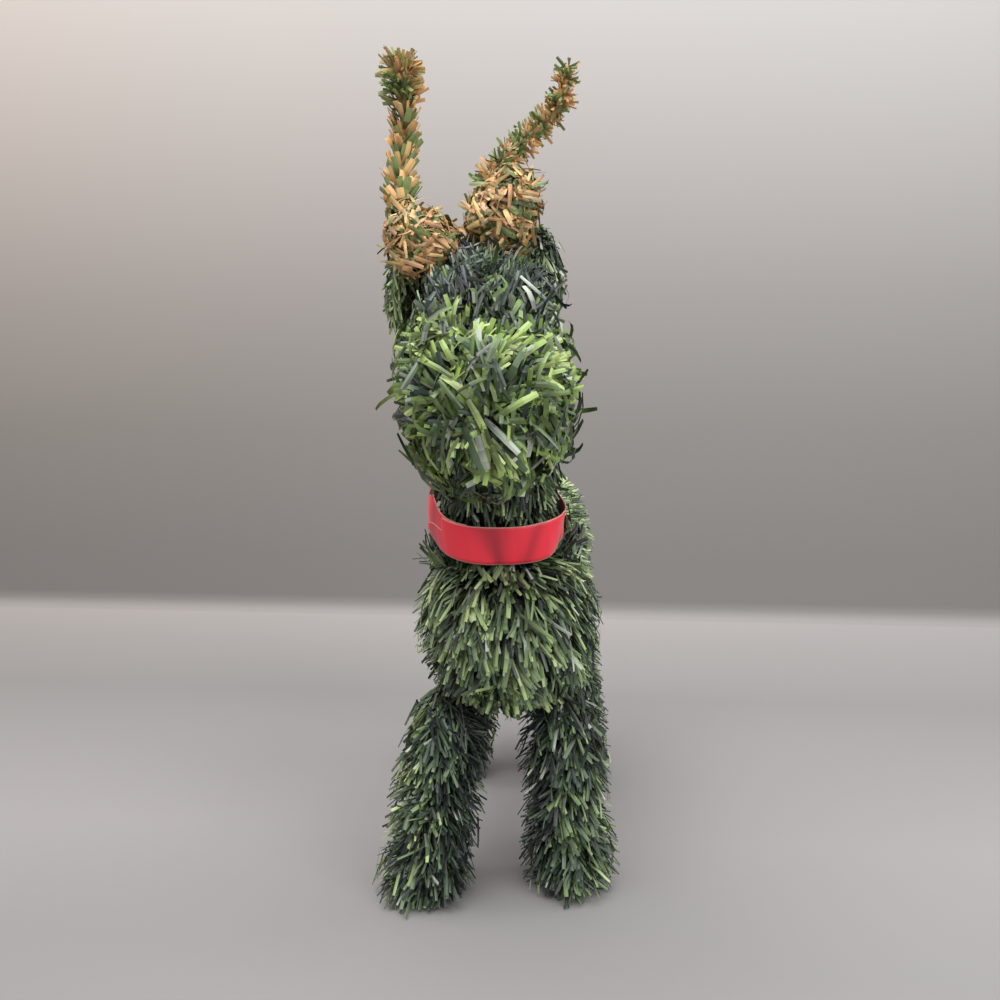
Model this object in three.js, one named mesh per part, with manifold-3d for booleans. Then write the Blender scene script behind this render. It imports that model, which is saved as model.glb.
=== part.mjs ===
// An artificial topiary reindeer, about 41 cm tall, standing on four straight legs.
// Every limb is a length of bristly green garland, the antlers are thinner garland in tan and
// green, and a red ribbon is tied round the neck. Millimetres, +Z up, nose towards -Y, left and
// right are the reindeer's own (its left is +X). The origin is on the floor, under the middle.
// Each garland is a stack of needle tiers: a smooth root ring that flares to a saw-toothed edge,
// which overhangs the root of the next tier as the needles of the real one do.

import * as THREE from "three";
import Module from "manifold-3d";
import { mergeVertices } from "three/addons/utils/BufferGeometryUtils.js";

const wasm = await Module();
wasm.setup();

// Legs
const legLength = 97; // floor to the belly
const legWidth = 44; // across the needle tips
const hipHeight = 30; // how far a leg's core runs up inside the torso
const hipSpread = 50; // between the cores of a pair of legs, at the belly
const legBase = 150; // front legs to rear legs
// How far each foot stands from straight below its hip, outwards and forwards
const frontRightFoot = [19, 8];
const frontLeftFoot = [7, -8];
const rearRightFoot = [27, -6];
const rearLeftFoot = [7, -2];

// Torso
const torsoLength = 246;
const torsoWidth = 93;
const chestDepth = 86; // belly to withers at the front legs
const rumpDepth = 123; // belly to croup at the rear legs
const chestReach = 46; // how far the chest stands in front of the front legs
const torsoSquareness = 2.3; // 2 is an ellipse, more is boxier

// Neck and ribbon
const neckLength = 146;
const neckWidth = 66;
const neckFlare = 1.32; // the neck's width where it meets the torso, over its own width
const neckLean = 15; // degrees, forwards
const neckTilt = 4; // degrees, towards the reindeer's right
const neckAside = 1; // how far its root is to the reindeer's right of the middle
const neckBehind = 12; // how far its root is behind the front legs
const neckRootHeight = 0.6; // of the chest's depth
const ribbonWidth = 19;
const ribbonThickness = 0.8;
const ribbonHeight = 55.5; // from the neck's root, along the neck
const ribbonTilt = 15; // degrees, its front down, from square to the neck
const ribbonRoll = 8; // degrees, the reindeer's right side up
const ribbonSquareness = 3.2; // 2 is a round loop, more is boxier
const ribbonTurn = 10; // degrees, its flat front turned towards the reindeer's left
const ribbonSlack = 1; // how far the loop stands off at its lap
const ribbonLap = 24; // degrees of the loop where the two ends lie on each other
const ribbonPress = 1; // how far it presses the neck's needles in

// Head
const headLength = 124;
const skullWidth = 66;
const muzzleWidth = 82;
const headDrop = 42; // degrees that the muzzle points below level
const headTurn = 11; // degrees, towards the reindeer's left
const skullBehind = 30; // from the head's back end to the top of the neck

// Ears and tail
const earLength = 52;
const earWidth = 28;
const earSpread = 54; // between the middles of the ears
const earLift = 18; // above the middle of the skull
const earBehind = 6; // behind the top of the neck
const earAside = 2; // both stand this much to the reindeer's right
const earDroop = 4; // how far its tip hangs away from the head
const earCant = 3; // the left one is raised by this and the right one is lowered
const tailLength = 40;
const tailWidth = 28;
const tailLift = 58; // degrees above level

// Antlers: a short thick brow tine and a long thin beam on each side
const browWidth = 30;
const beamWidth = 13.5;
const rightTipWidth = 20; // the bushy end of the right beam
const antlerHeight = 98; // above the crown of the head

// Assembly
const clearance = 0.6; // between neighbouring pieces
const crumb = 1e-3; // triangles are welded at this distance

const V = (x, y, z) => new THREE.Vector3(x, y, z);
const mix = (a, b, share) => a + (b - a) * share;
const clamp01 = (x) => Math.min(1, Math.max(0, x));
const smooth = (x) => clamp01(x) ** 2 * (3 - 2 * clamp01(x));
const degrees = THREE.MathUtils.degToRad;

// Materials, with the colours of the real garland and ribbon
const finish = (color, roughness) => new THREE.MeshStandardMaterial({ color, roughness, metalness: 0 });
const greenPvc = () => finish("#4f6440", 0.6);
const tanPvc = () => finish("#a5834f", 0.6);
const redSatin = () => finish("#d5303c", 0.45);

// Solids: closed meshes that can be cut by one another
function weld(geometry) {
  const bare = geometry.clone();
  bare.deleteAttribute("normal");
  bare.deleteAttribute("uv");
  return mergeVertices(bare, crumb);
}

function solidOf(geometry) {
  const welded = weld(geometry);
  return new wasm.Manifold(
    new wasm.Mesh({
      numProp: 3,
      vertProperties: welded.attributes.position.array,
      triVerts: new Uint32Array(welded.index.array),
    }),
  );
}

function geometryOf(solid) {
  const mesh = solid.getMesh();
  const geometry = new THREE.BufferGeometry();
  geometry.setAttribute("position", new THREE.BufferAttribute(mesh.vertProperties, 3));
  geometry.setIndex(new THREE.BufferAttribute(mesh.triVerts, 1));
  geometry.computeVertexNormals();
  return geometry;
}

function biggestBody(solid) {
  return solid.decompose().reduce((a, b) => (b.volume() > a.volume() ? b : a));
}

// A piece's outer surface, moved out by the clearance.
function grown(mesh) {
  const welded = weld(mesh.userData.sheath ?? mesh.geometry);
  welded.computeVertexNormals();
  const { position, normal } = welded.attributes;
  for (let i = 0; i < position.count; i++) {
    const shift = V().fromBufferAttribute(normal, i).multiplyScalar(clearance);
    shift.add(V().fromBufferAttribute(position, i));
    position.setXYZ(i, shift.x, shift.y, shift.z);
  }
  return solidOf(welded);
}

// Cuts a mesh back from its neighbours, wherever each stands, so that it seats on them.
function seat(mesh, ...neighbours) {
  mesh.updateWorldMatrix(true, false);
  const toLocal = mesh.matrixWorld.clone().invert();
  let solid = solidOf(mesh.geometry);
  for (const neighbour of neighbours) {
    neighbour.updateWorldMatrix(true, false);
    const place = toLocal.clone().multiply(neighbour.matrixWorld);
    solid = solid.subtract(grown(neighbour).transform(place.elements));
  }
  mesh.geometry = geometryOf(biggestBody(solid));
}

// Garland: surface(share, turn, reach) gives the point at a share of the garland's length, a
// share of a turn round it, and a reach from its core (0) to its needle tips (1).
const rootReach = 0.8;
const notchReach = 0.88;
const overhang = 0.32; // of a tier, that the tips hang over the next one

// A closed skin through rings of points, each closed by strips across it at the two ends.
function skinThrough(rings) {
  const around = rings[0].length;
  const vertex = (row, i) => row * around + (i % around);
  const triangles = [];
  const cap = (row, facing) => {
    for (let i = 0; i < around / 2; i++) {
      const [a, b] = [vertex(row, i), vertex(row, i + 1)];
      const [c, d] = [vertex(row, around - i), vertex(row, around - i - 1)];
      if (b !== d) triangles.push(...(facing ? [a, b, d] : [a, d, b]));
      if (a !== c) triangles.push(...(facing ? [a, d, c] : [a, c, d]));
    }
  };
  cap(0, true);
  for (let row = 0; row < rings.length - 1; row++) {
    for (let i = 0; i < around; i++) {
      const [a, b] = [vertex(row, i), vertex(row, i + 1)];
      const [c, d] = [vertex(row + 1, i), vertex(row + 1, i + 1)];
      triangles.push(a, c, d, a, d, b);
    }
  }
  cap(rings.length - 1, false);
  const geometry = new THREE.BufferGeometry().setFromPoints(rings.flat());
  geometry.setIndex(triangles);
  geometry.computeVertexNormals();
  return geometry;
}

// The garland's tiers, and the smooth sheath that all its needle tips lie on.
function garlandSkins({ surface, tiers, teeth, levelEnd = false }) {
  const around = 2 * teeth;
  const ring = (shareAt, reachAt) =>
    Array.from({ length: around }, (_, i) => surface(shareAt(i), i / around, reachAt(i)));
  const needles = [];
  const sheath = [ring(() => 0, () => 1)];
  for (let tier = 0; tier < tiers; tier++) {
    const edge = (tier + 1) / tiers;
    const hang = levelEnd && tier === tiers - 1 ? 0 : overhang / tiers;
    const isTip = (i) => (i + tier) % 2 === 0;
    needles.push(ring(() => tier / tiers, () => rootReach));
    needles.push(ring((i) => edge + (isTip(i) ? hang : 0), (i) => (isTip(i) ? 1 : notchReach)));
    sheath.push(ring(() => edge + hang, () => 1));
  }
  return { geometry: skinThrough(needles), sheath: skinThrough(sheath) };
}

// A garland round a curve. halfWidth(share) is how far its needle tips stand from the curve, and
// reference is any direction that the curve never takes.
function alongCurve(curve, halfWidth, reference = V(0, 1, 0)) {
  const length = curve.getLength();
  return (share, turn, reach) => {
    const at = clamp01(share);
    const along = curve.getTangentAt(at);
    const side = V().crossVectors(reference, along).normalize();
    const up = V().crossVectors(along, side);
    const angle = -2 * Math.PI * turn;
    const r = halfWidth(at) * reach;
    return curve
      .getPointAt(at)
      .addScaledVector(side, r * Math.cos(angle))
      .addScaledVector(up, r * Math.sin(angle))
      .addScaledVector(along, (share - at) * length);
  };
}

// The width of a round-ended body, as a share of its full width. startShare and endShare are
// how much of its length each rounded end takes, and least is the width kept at its very ends.
function roundEnds(share, startShare, endShare, least = 0.3) {
  const into = Math.min(share / startShare, (1 - share) / endShare, 1);
  return Math.max(least, Math.sqrt(1 - (1 - into) ** 2));
}

// Torso: level tiers hung from the spine down, on a long round-ended outline.
function torsoSurface(share, turn, reach) {
  const crown = 0.1; // the first ring is the ridge of the back
  const hem = 0.9; // the last ring is the edge of the belly
  const drop = Math.PI * mix(crown, hem, share);
  const wide = Math.sin(drop) ** (2 / torsoSquareness) * reach;
  const endRadius = torsoWidth / 2;
  const straight = torsoLength - 2 * endRadius;
  const endArc = Math.PI * endRadius;
  const lap = 2 * (straight + endArc); // once round, from the middle of the chest
  const walked = (turn * lap + lap - endArc / 2) % lap;
  const half = walked < lap / 2 ? 1 : -1;
  const inHalf = walked % (lap / 2);
  const angle = inHalf < straight ? 0 : (inHalf - straight) / endRadius;
  const alongSide = Math.min(inHalf, straight) - straight / 2;
  const x = half * endRadius * wide * Math.cos(angle);
  const y = half * (alongSide + endRadius * wide * Math.sin(angle));
  const middle = torsoLength / 2 - chestReach;
  const rise = smooth((y + middle) / legBase);
  const depth = mix(chestDepth, rumpDepth, rise);
  const height = Math.sign(Math.cos(drop)) * Math.abs(Math.cos(drop)) ** (2 / torsoSquareness);
  return V(x, y, (depth / 2) * (1 + height * mix(0.9, 1, reach)));
}

const reindeer = new THREE.Group();

function piece(name, garland, material, parent = reindeer) {
  const { geometry, sheath } = garlandSkins(garland);
  const mesh = new THREE.Mesh(geometry, material);
  mesh.name = name;
  mesh.userData.sheath = sheath;
  parent.add(mesh);
  return mesh;
}

const torso = piece("torso", { surface: torsoSurface, tiers: 7, teeth: 27 }, greenPvc());
torso.position.set(0, torsoLength / 2 - chestReach, legLength);

// Legs: level tiers from the hip to a flat foot, as straight as the wire in them was bent.
function leg(name, side, hipY, [outwards, forwards]) {
  const foot = V(side * outwards, -forwards, 0);
  const hip = V(0, 0, legLength + hipHeight);
  const surface = (share, turn, reach) => {
    const angle = 2 * Math.PI * turn;
    const r = (legWidth / 2) * mix(0.86, 1, share) * reach;
    const core = V().lerpVectors(hip, foot, share);
    return core.add(V(r * Math.cos(angle), r * Math.sin(angle), 0));
  };
  const mesh = piece(name, { surface, tiers: 8, teeth: 9, levelEnd: true }, greenPvc());
  mesh.position.set((side * hipSpread) / 2, hipY, 0);
  seat(mesh, torso);
}
leg("front_right_leg", -1, 0, frontRightFoot);
leg("front_left_leg", 1, 0, frontLeftFoot);
leg("rear_right_leg", -1, legBase, rearRightFoot);
leg("rear_left_leg", 1, legBase, rearLeftFoot);

// Tail: a stub that stands up from the croup.
const tail = piece(
  "tail",
  {
    surface: alongCurve(
      new THREE.LineCurve3(V(0, 0, 0), V(0, 0, tailLength)),
      (share) => (tailWidth / 2) * roundEnds(share, 0.2, 0.8),
    ),
    tiers: 4,
    teeth: 7,
  },
  greenPvc(),
);
const croup = torsoLength - chestReach - torsoWidth / 4;
tail.position.set(0, croup, legLength + rumpDepth * 0.78);
tail.rotation.x = degrees(tailLift - 90);
seat(tail, torso);

// Neck: its own frame has +Z up the neck. The needles point down it.
const neckFrame = new THREE.Group();
neckFrame.position.set(-neckAside, neckBehind, legLength + chestDepth * neckRootHeight);
neckFrame.rotation.set(degrees(neckLean), degrees(-neckTilt), 0);
reindeer.add(neckFrame);
const neck = piece(
  "neck",
  {
    surface: alongCurve(
      new THREE.LineCurve3(V(0, 0, neckLength), V(0, 0, 0)),
      (share) => (neckWidth / 2) * mix(1, neckFlare, smooth((share - 0.62) / 0.38)),
    ),
    tiers: 7,
    teeth: 12,
  },
  greenPvc(),
  neckFrame,
);

// Ribbon: a loop of satin round the neck. Stiff as it is, it runs flat and turns at its corners.
// Its ends lie on each other at the reindeer's right.
const loopRadius = neckWidth / 2 - ribbonPress;
const lapMiddle = 200; // degrees round the loop from the reindeer's left, by its back
const fromLap = (angle) => Math.abs(angle - lapMiddle);
const power = (length, exponent) => Math.abs(length) ** exponent;
function loopReach(angle) {
  const turned = degrees(angle - ribbonTurn);
  const [across, along] = [Math.cos(turned), Math.sin(turned)];
  const squared = power(across, ribbonSquareness) + power(along, ribbonSquareness);
  const slack = ribbonSlack * Math.exp(-((fromLap(angle) / ribbonLap) ** 2));
  return loopRadius / power(squared, 1 / ribbonSquareness) + slack;
}
const layers = (angle) => (fromLap(angle) < ribbonLap / 2 ? 2 : 1);

// A band between two radii, each given for an angle in degrees, as wide as the ribbon and an
// extra at both edges. It is square to the neck in section, and slants with the ribbon.
function band(inner, outer, { extra = 0, sides = 40, material } = {}) {
  const outline = (path, radius) => {
    for (let i = 0; i < sides; i++) {
      const angle = (360 * i) / sides;
      const x = radius(angle) * Math.cos(degrees(angle));
      const y = radius(angle) * Math.sin(degrees(angle));
      if (i) path.lineTo(x, y);
      else path.moveTo(x, y);
    }
    path.closePath();
    return path;
  };
  const shape = outline(new THREE.Shape(), outer);
  shape.holes.push(outline(new THREE.Path(), inner));
  const depth = ribbonWidth + 2 * extra;
  const geometry = new THREE.ExtrudeGeometry(shape, { depth, bevelEnabled: false });
  geometry.translate(0, 0, -depth / 2);
  const rise = Math.tan(degrees(ribbonTilt));
  const roll = Math.tan(degrees(ribbonRoll));
  geometry.applyMatrix4(new THREE.Matrix4().makeShear(0, -roll, 0, rise, 0, 0));
  const mesh = new THREE.Mesh(geometry, material);
  mesh.position.z = ribbonHeight;
  neckFrame.add(mesh);
  return mesh;
}
const ribbonOutside = (angle) => loopReach(angle) + ribbonThickness * layers(angle);
const ribbon = band(loopReach, ribbonOutside, { material: redSatin() });
ribbon.name = "ribbon_collar";

// The torso leaves room for the ribbon. The ribbon presses the neck's needles in, so the neck
// is cut away at the ribbon's width wherever it would stand outside the loop.
const slot = band(
  (angle) => loopReach(angle) - clearance,
  (angle) => ribbonOutside(angle) + clearance,
  { extra: clearance },
);
const pressed = band(() => loopRadius - clearance, () => neckWidth, { extra: clearance, sides: 24 });
seat(torso, slot);

// Head: one fat garland from the back of the skull to the end of the muzzle.
const headFrame = new THREE.Group();
neckFrame.updateWorldMatrix(true, false);
headFrame.position.copy(neckFrame.localToWorld(V(0, 0, neckLength)));
headFrame.rotation.set(0, 0, degrees(headTurn));
reindeer.add(headFrame);
const drop = degrees(headDrop);
const headAlong = V(0, -Math.cos(drop), -Math.sin(drop));
const headBack = headAlong.clone().multiplyScalar(-skullBehind);
const headFront = headAlong.clone().multiplyScalar(headLength - skullBehind);
const head = piece(
  "head",
  {
    surface: alongCurve(
      new THREE.LineCurve3(headBack, headFront),
      (share) =>
        (mix(skullWidth, muzzleWidth, smooth(share / 0.7)) / 2) *
        roundEnds(share, 0.24, 0.3),
      V(1, 0, 0),
    ),
    tiers: 8,
    teeth: 15,
  },
  greenPvc(),
  headFrame,
);
seat(neck, torso, head, pressed);
neckFrame.remove(slot, pressed);

// What stands on the head is seated, in turn, on all that stands there before it.
const standing = [head, neck];
function seatOnHead(mesh) {
  seat(mesh, ...standing);
  standing.push(mesh);
}

// Ears: drooping stubs at the sides of the skull, canted since the head is bent to one side.
function ear(name, side) {
  const mesh = piece(
    name,
    {
      surface: alongCurve(
        new THREE.LineCurve3(V(0, 0, earLength / 2), V(side * earDroop, 0, -earLength / 2)),
        (share) => (earWidth / 2) * roundEnds(share, 0.4, 0.5),
      ),
      tiers: 4,
      teeth: 7,
    },
    greenPvc(),
    headFrame,
  );
  mesh.position.set((side * earSpread) / 2 - earAside, earBehind, earLift + side * earCant);
  seatOnHead(mesh);
}
ear("right_ear", -1);
ear("left_ear", 1);

// Antlers: each path is measured from the crown, the highest point of the head's core, in
// hundredths of the antlers' height.
const crown = headFrame.position.clone().add(V(0, 0, skullWidth * 0.3));
const antlerPath = (points) =>
  new THREE.CatmullRomCurve3(points.map((p) => p.multiplyScalar(antlerHeight / 100)));
function antler(side, brow, beam, tipWidth) {
  const browTine = piece(
    side + "_brow_tine",
    {
      surface: alongCurve(
        antlerPath(brow),
        (share) => (browWidth / 2) * roundEnds(share, 0.5, 0.42),
        V(0, 0, 1),
      ),
      tiers: 5,
      teeth: 8,
    },
    tanPvc(),
  );
  browTine.position.copy(crown);
  seatOnHead(browTine);
  const antlerBeam = piece(
    side + "_antler_beam",
    {
      surface: alongCurve(antlerPath(beam), (share) => {
        const bush = mix(beamWidth, tipWidth, smooth((share - 0.7) / 0.12));
        return (bush / 2) * roundEnds(share, 0.05, 0.12, 0.4);
      }),
      tiers: 12,
      teeth: 5,
    },
    tanPvc(),
  );
  antlerBeam.position.copy(crown);
  seatOnHead(antlerBeam);
}
antler(
  "right",
  [V(-8, -10, -6), V(-18, -15, 6), V(-28, -21, 18), V(-33, -24, 27)],
  [V(-32, -18, 21), V(-36, -15, 35), V(-35, -8, 57), V(-34, -8, 78), V(-35, -16, 100)],
  rightTipWidth,
);
antler(
  "left",
  [V(8, -10, 4), V(10, -15, 18), V(15, -21, 29), V(24, -29, 35)],
  [
    V(4, -13, 22), V(3, -12, 37), V(9, -8, 51), V(21, -5, 61),
    V(33, -4, 69), V(40, -7, 84), V(42, -11, 96),
  ],
  beamWidth,
);

// The origin goes to the floor, under the middle of the whole reindeer.
const bounds = new THREE.Box3().setFromObject(reindeer, true);
const middle = bounds.getCenter(V());
reindeer.position.set(-middle.x, -middle.y, -bounds.min.z);

export default reindeer;
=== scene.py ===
# %% [markdown]
# # An artificial topiary reindeer
#
# The real figure is made by hand from plastic pine garland: a wire core with thousands of thin
# PVC strips twisted into it. Lengths of it are wound on a wire frame into a body, legs, a neck
# and a head. Thinner garland in tan and green makes the antlers, and a red satin ribbon goes
# round the neck.
#
# The solids of the model are loaded first. They give every size and place: this lesson only
# dresses them, so each tuft is grown from the solid that it covers.

import math

import bpy
import numpy as np
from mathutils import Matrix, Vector, noise
from mathutils.bvhtree import BVHTree
from mathutils.kdtree import KDTree


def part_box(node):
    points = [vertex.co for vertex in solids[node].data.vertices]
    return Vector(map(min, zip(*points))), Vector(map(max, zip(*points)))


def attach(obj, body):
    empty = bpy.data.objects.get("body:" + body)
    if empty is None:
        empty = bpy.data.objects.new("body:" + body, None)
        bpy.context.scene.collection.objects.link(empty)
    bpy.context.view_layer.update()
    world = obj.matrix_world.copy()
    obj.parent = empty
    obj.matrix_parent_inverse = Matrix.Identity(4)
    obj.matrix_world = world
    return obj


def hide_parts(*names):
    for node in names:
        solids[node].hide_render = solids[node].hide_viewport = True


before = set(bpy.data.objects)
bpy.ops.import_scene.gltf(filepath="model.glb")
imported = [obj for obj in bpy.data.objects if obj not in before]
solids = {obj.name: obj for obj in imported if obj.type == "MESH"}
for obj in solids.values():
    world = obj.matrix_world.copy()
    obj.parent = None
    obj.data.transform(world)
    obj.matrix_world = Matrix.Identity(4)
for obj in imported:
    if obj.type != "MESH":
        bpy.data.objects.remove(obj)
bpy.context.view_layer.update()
mm = 0.001
print("solids:", ", ".join(sorted(solids)))

# %% [markdown]
# ## Camera
#
# A photograph taken very near has strong perspective: the head, which is nearest, looks large
# and the feet look small. A longer lens further off would never give that, so the distance is
# found first and the lens after it. The camera stands half a metre in front of the front feet,
# a little to the reindeer's left, and looks slightly down.

# %% Place the camera
camera_distance = 450 * mm  # to the front feet, along the floor
camera_height = 243 * mm
camera_swing = math.radians(5.5)  # towards the reindeer's left
camera_pitch = math.radians(5)  # below level
lens_length = 32.4  # in mm, on a 36 mm wide sensor

low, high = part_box("front_left_leg")
low_right, high_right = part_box("front_right_leg")
feet = Vector(((high.x + low_right.x) / 2, (low.y + high_right.y) / 2, 0))
aim = feet + Vector((2 * mm, 0, 0))
print("between the front feet, mm:", [round(c / mm, 1) for c in feet])

camera = bpy.data.objects.new("camera", bpy.data.cameras.new("camera"))
bpy.context.scene.collection.objects.link(camera)
back = Vector((math.sin(camera_swing), -math.cos(camera_swing), 0))
camera.location = aim + back * camera_distance + Vector((0, 0, camera_height))
camera.rotation_euler = (math.pi / 2 - camera_pitch, 0, camera_swing)
camera.data.lens = lens_length
camera.data.sensor_width = 36
bpy.context.scene.camera = camera
print("camera at, mm:", [round(c / mm) for c in camera.location])

# %% [markdown]
# ## Materials
#
# Garland needles are slit from calendered PVC film. The film is dyed right through, it has a
# faint gloss, and each strip catches the light by the way it happens to be bent. So the colour
# hardly varies along a strip, but it varies from strip to strip: the garland is spun from two or
# three films at once. Each strip therefore carries a number, its tone, and the material looks
# the colour up on a ramp. A second number says how far along the strip a point is, because the
# colour is darkened towards the wire as painted shade, where the tuft is deepest.

# %% Colours and node helpers
def linear(hex_colour):
    """An sRGB hex colour as the linear RGBA that Blender's sockets take."""
    channels = [int(hex_colour[i : i + 2], 16) / 255 for i in (1, 3, 5)]
    steps = [c / 12.92 if c <= 0.04045 else ((c + 0.055) / 1.055) ** 2.4 for c in channels]
    return (*steps, 1.0)


def add_node(material, kind, settings=None, links=None):
    """Adds a shader node, sets its properties or sockets, and links its inputs."""
    tree = material.node_tree
    node = tree.nodes.new(kind)
    for name, value in (settings or {}).items():
        if name in node.inputs:
            node.inputs[name].default_value = value
        else:
            setattr(node, name, value)
    for name, output in (links or {}).items():
        tree.links.new(output, node.inputs[name])
    return node


def new_material(name):
    """An empty material and the output node that its shader goes to."""
    material = bpy.data.materials.new(name)
    material.use_nodes = True
    material.node_tree.nodes.clear()
    return material, add_node(material, "ShaderNodeOutputMaterial")


def fill_ramp(ramp_node, stops):
    """Gives a colour ramp its stops, as pairs of a position and a hex colour."""
    ramp = ramp_node.color_ramp
    while len(ramp.elements) < len(stops):
        ramp.elements.new(0.5)
    for element, (position, colour) in zip(ramp.elements, stops):
        element.position = position
        element.color = linear(colour)


# %% Slit PVC film
# PVC has an IOR near 1.53. Calendered film that was slit and handled is neither matt nor shiny.
def slit_film(name, stops, roughness, shade_at_root):
    """PVC film for needles: colour by the strip's tone, with painted shade towards the wire."""
    material, output = new_material(name)
    tone = add_node(material, "ShaderNodeAttribute", {"attribute_name": "tone"})
    along = add_node(material, "ShaderNodeAttribute", {"attribute_name": "along"})
    colour = add_node(material, "ShaderNodeValToRGB", links={"Fac": tone.outputs["Fac"]})
    fill_ramp(colour, stops)
    # Painted shade: the colour darkens towards the wire, where the tuft is deepest.
    depth = add_node(
        material,
        "ShaderNodeMapRange",
        {"From Min": 0.25, "From Max": 0.8, "To Min": shade_at_root, "To Max": 1.0},
        {"Value": along.outputs["Fac"]},
    )
    shaded = add_node(
        material,
        "ShaderNodeVectorMath",
        {"operation": "SCALE"},
        {"Vector": colour.outputs["Color"], "Scale": depth.outputs["Result"]},
    )
    surface = add_node(
        material,
        "ShaderNodeBsdfPrincipled",
        {"IOR": 1.53, "Roughness": roughness},
        {"Base Color": shaded.outputs["Vector"]},
    )
    material.node_tree.links.new(surface.outputs["BSDF"], output.inputs["Surface"])
    return material


# The last stop of the green films, a pale grey, is reached only by the few pale strips: a painted
# glint of the film's gloss.
green_film = slit_film(
    "slit PVC film, pine green",
    [
        (0.0, "#1a2122"),
        (0.2, "#2c3733"),
        (0.4, "#4d5e4c"),
        (0.6, "#71865e"),
        (0.8, "#9ab075"),
        (0.93, "#b6c98a"),
        (1.0, "#b6c0b2"),
    ],
    0.42,
    0.3,
)
fresh_film = slit_film(
    "slit PVC film, leaf green",
    [
        (0.0, "#232e2f"),
        (0.2, "#35453f"),
        (0.4, "#586e50"),
        (0.6, "#7a9650"),
        (0.8, "#a0bb62"),
        (0.93, "#b8cc79"),
        (1.0, "#b8c3b2"),
    ],
    0.38,
    0.3,
)
tan_film = slit_film(
    "slit PVC film, tan and green",
    [
        (0.0, "#3f4a35"),
        (0.18, "#667f4d"),
        (0.36, "#8fa164"),
        (0.5, "#b8a86c"),
        (0.6, "#d2a074"),
        (0.74, "#e9b67b"),
        (0.87, "#f5cf8b"),
        (1.0, "#f9d4a8"),
    ],
    0.45,
    0.6,
)
print("materials:", green_film.name, "/", fresh_film.name, "/", tan_film.name)

# %% [markdown]
# ## From a solid to a coat of needles
#
# Fur in Blender is often made with hair particles, but such hairs are lines and a needle is a
# flat strip with a blunt end, which shows at this distance. So every needle is a real mesh: a
# closed, flattened prism with a slight ridge. They are made thousands at a time as arrays.
#
# The solid is first turned into a smooth envelope that touches all its tooth tips. Needle tips
# are then scattered over that envelope, and each needle runs back from its tip into the tuft, so
# the silhouette stays where the solid has it. The remeshed skin is sorted by place, so that the
# draws, and with them the needles, are the same each time.

# %% The envelope of a tuft
def arrays_of(mesh):
    """A mesh's points, outward normals and triangles as arrays."""
    points = np.empty(len(mesh.vertices) * 3)
    mesh.vertices.foreach_get("co", points)
    normals = np.empty(len(mesh.vertices) * 3)
    mesh.vertices.foreach_get("normal", normals)
    mesh.calc_loop_triangles()
    triangles = np.empty(len(mesh.loop_triangles) * 3, np.int32)
    mesh.loop_triangles.foreach_get("vertices", triangles)
    return points.reshape(-1, 3), normals.reshape(-1, 3), triangles.reshape(-1, 3)


def unit(vectors):
    return vectors / np.maximum(np.linalg.norm(vectors, axis=-1, keepdims=True), 1e-12)


def neighbour_mean(values, triangles):
    """Each point's value averaged with those of the points it shares a triangle with."""
    total = values.copy()
    count = np.ones(len(values))
    for a, b in ((0, 1), (1, 2), (2, 0)):
        for start, end in ((a, b), (b, a)):
            np.add.at(total, triangles[:, start], values[triangles[:, end]])
            np.add.at(count, triangles[:, start], 1)
    return total / (count if values.ndim == 1 else count[:, None])


def in_order(points, normals, quads):
    """The same skin, sorted by place and cut into triangles, so that its order is fixed."""
    order = np.lexsort(np.round(points / (0.01 * mm)).T)
    rank = np.empty(len(points), int)
    rank[order] = np.arange(len(points))
    quads = rank[quads]
    first = quads.argmin(1)
    quads = np.take_along_axis(quads, (first[:, None] + np.arange(4)) % 4, 1)
    quads = quads[np.lexsort(quads.T[::-1])]
    triangles = quads[:, [0, 1, 2, 0, 2, 3]].reshape(-1, 3)
    return points[order], normals[order], triangles


def remeshed(solid, voxel, smoothing):
    """A copy of a solid with even triangles and softened steps, as arrays."""
    copy = bpy.data.objects.new("copy", solid.data.copy())
    bpy.context.scene.collection.objects.link(copy)
    remesh = copy.modifiers.new("even", "REMESH")
    remesh.mode = "VOXEL"
    remesh.voxel_size = voxel
    soften = copy.modifiers.new("soften", "SMOOTH")
    soften.iterations = smoothing
    shape = copy.evaluated_get(bpy.context.evaluated_depsgraph_get())
    mesh = shape.to_mesh()
    points, normals, _ = arrays_of(mesh)
    quads = np.array([tuple(face.vertices) for face in mesh.polygons])
    shape.to_mesh_clear()
    bpy.data.objects.remove(copy)
    return in_order(points, normals, quads)


def envelope(solid, voxel, reach, smoothing=6):
    """A smooth skin that is pushed out to the solid's highest points within reach."""
    points, normals, triangles = remeshed(solid, voxel, smoothing)
    tips, _, _ = arrays_of(solid.data)
    tree = KDTree(len(tips))
    for i, tip in enumerate(tips):
        tree.insert(tip, i)
    tree.balance()
    heights = np.zeros(len(points))
    for i, point in enumerate(points):
        near = [j for _, j, _ in tree.find_range(point, reach)]
        if near:
            heights[i] = max(0, ((tips[near] - point) @ normals[i]).max())
    for _ in range(4):
        heights = neighbour_mean(heights, triangles)
        normals = unit(neighbour_mean(normals, triangles))
    return points + normals * heights[:, None], normals, triangles


print("the torso's envelope:", len(envelope(solids["torso"], 5 * mm, 12 * mm)[0]), "points")

# %% [markdown]
# ## The needles
#
# A needle leaves the wire, leans over in the direction in which the garland was combed, and
# curls a little. Neighbours lean alike, because they were twisted in together: that makes the
# locks with dark gaps between them. So each needle's direction is the sum of three things: away
# from the surface, along the combing, and a slowly changing field of noise, with a little chance
# on top. Every draw comes from one seeded generator, so the figure is the same each time.

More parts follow.
